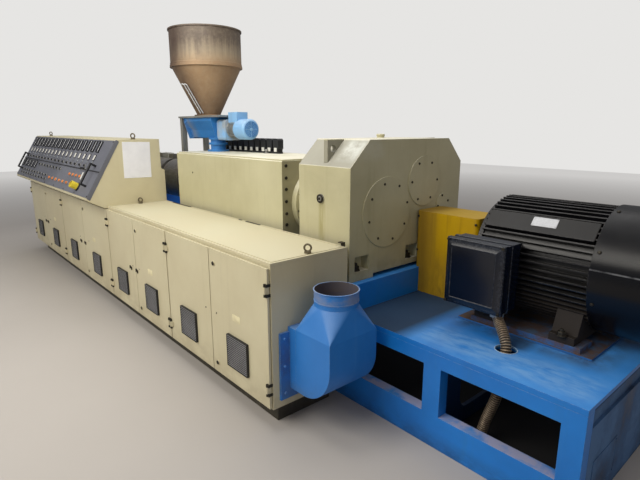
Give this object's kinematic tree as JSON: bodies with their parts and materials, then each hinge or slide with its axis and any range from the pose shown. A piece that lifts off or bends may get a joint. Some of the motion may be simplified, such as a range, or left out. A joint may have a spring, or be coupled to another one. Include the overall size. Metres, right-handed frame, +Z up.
{
  "type": "plastic extruder",
  "caption": "Plastic extruder line: blue skid with motor, gearbox, feed hopper and heated barrel, and a low cream cabinet with hinged doors under a sloped console.",
  "frame": {"origin": "on the floor at the middle of the skid, under its centre cross plate", "axes": "+X along the skid towards the motor, +Z up, cabinet doors and console face -Y"},
  "size_m": [6.308, 1.678, 2.19],
  "materials": {
    "cream_paint": "satin, dusty",
    "shaded_cream_paint": "satin",
    "blue_paint": "gloss, dusty on top",
    "duct_blue_paint": "satin, worn",
    "light_blue_paint": "gloss",
    "yellow_paint": "satin",
    "black_paint": "satin",
    "terminal_box_paint": "satin",
    "panel_paint": "matt",
    "plinth_paint": "matt",
    "hopper_steel": "matt, stained",
    "barrel_steel": "heat stained",
    "zinc_steel": "satin",
    "dark_hardware": "oiled",
    "black_plastic": "matt",
    "conduit_steel": "ribbed"
  },
  "bodies": {
    "machine": {"skid_deck": "blue_paint", "skid_girders": "blue_paint", "skid_crossmembers": "blue_paint", "gearbox_pedestal": "blue_paint", "gearbox_housing": "cream_paint", "gearbox_lugs": "cream_paint", "thrust_cover": "cream_paint", "shaft_covers": "cream_paint", "sight_plug": "zinc_steel", "lantern": "cream_paint", "feed_housing": "cream_paint", "feed_housing_lid": "cream_paint", "plug_row": "black_plastic", "barrel": "barrel_steel", "heater_bands": "barrel_steel", "barrel_supports": "blue_paint", "outlet_flange": "barrel_steel", "hopper_shell": "hopper_steel", "hopper_table": "zinc_steel", "table_legs": "zinc_steel", "feeder_trough": "blue_paint", "feed_throat": "blue_paint", "feeder_drive": "light_blue_paint", "coupling_guard": "yellow_paint", "motor_sole_plate": "blue_paint", "motor_frame": "black_paint", "motor_end_bell": "black_paint", "motor_fan_cowl": "black_paint", "terminal_box": "terminal_box_paint", "motor_conduit": "conduit_steel", "cabinet_floor": "shaded_cream_paint", "cabinet_back": "shaded_cream_paint", "cabinet_ends": "cream_paint", "bay_dividers": "shaded_cream_paint", "cabinet_hinges": "zinc_steel", "cabinet_lid": "cream_paint", "cabinet_plinth": "plinth_paint", "lifting_eyes": "dark_hardware", "console_housing": "cream_paint", "instrument_panel": "panel_paint", "grab_handles": "black_plastic", "duct_flange": "duct_blue_paint", "duct_elbow": "duct_blue_paint"},
    "door_1": {"door_1": "cream_paint"},
    "door_2": {"door_2": "cream_paint"},
    "door_3": {"door_3": "cream_paint"},
    "door_4": {"door_4": "cream_paint"},
    "door_5": {"door_5": "cream_paint"},
    "door_6": {"door_6": "cream_paint"},
    "door_7": {"door_7": "cream_paint"},
    "door_8": {"door_8": "cream_paint"}
  },
  "joints": [
    {"name": "door_1_hinge", "type": "hinge", "parent": "machine", "child": "door_1", "pos_m": [1.874, -1.028, 0.473], "axis": [0, 0, 1], "range_deg": [0, 90]},
    {"name": "door_2_hinge", "type": "hinge", "parent": "machine", "child": "door_2", "pos_m": [0.809, -1.028, 0.473], "axis": [0, 0, 1], "range_deg": [-90, 0]},
    {"name": "door_3_hinge", "type": "hinge", "parent": "machine", "child": "door_3", "pos_m": [0.779, -1.028, 0.473], "axis": [0, 0, 1], "range_deg": [0, 90]},
    {"name": "door_4_hinge", "type": "hinge", "parent": "machine", "child": "door_4", "pos_m": [-0.286, -1.028, 0.473], "axis": [0, 0, 1], "range_deg": [-90, 0]},
    {"name": "door_5_hinge", "type": "hinge", "parent": "machine", "child": "door_5", "pos_m": [-0.316, -1.028, 0.473], "axis": [0, 0, 1], "range_deg": [0, 90]},
    {"name": "door_6_hinge", "type": "hinge", "parent": "machine", "child": "door_6", "pos_m": [-1.666, -1.028, 0.473], "axis": [0, 0, 1], "range_deg": [-90, 0]},
    {"name": "door_7_hinge", "type": "hinge", "parent": "machine", "child": "door_7", "pos_m": [-1.696, -1.028, 0.473], "axis": [0, 0, 1], "range_deg": [0, 90]},
    {"name": "door_8_hinge", "type": "hinge", "parent": "machine", "child": "door_8", "pos_m": [-3.046, -1.028, 0.473], "axis": [0, 0, 1], "range_deg": [-90, 0]}
  ]
}
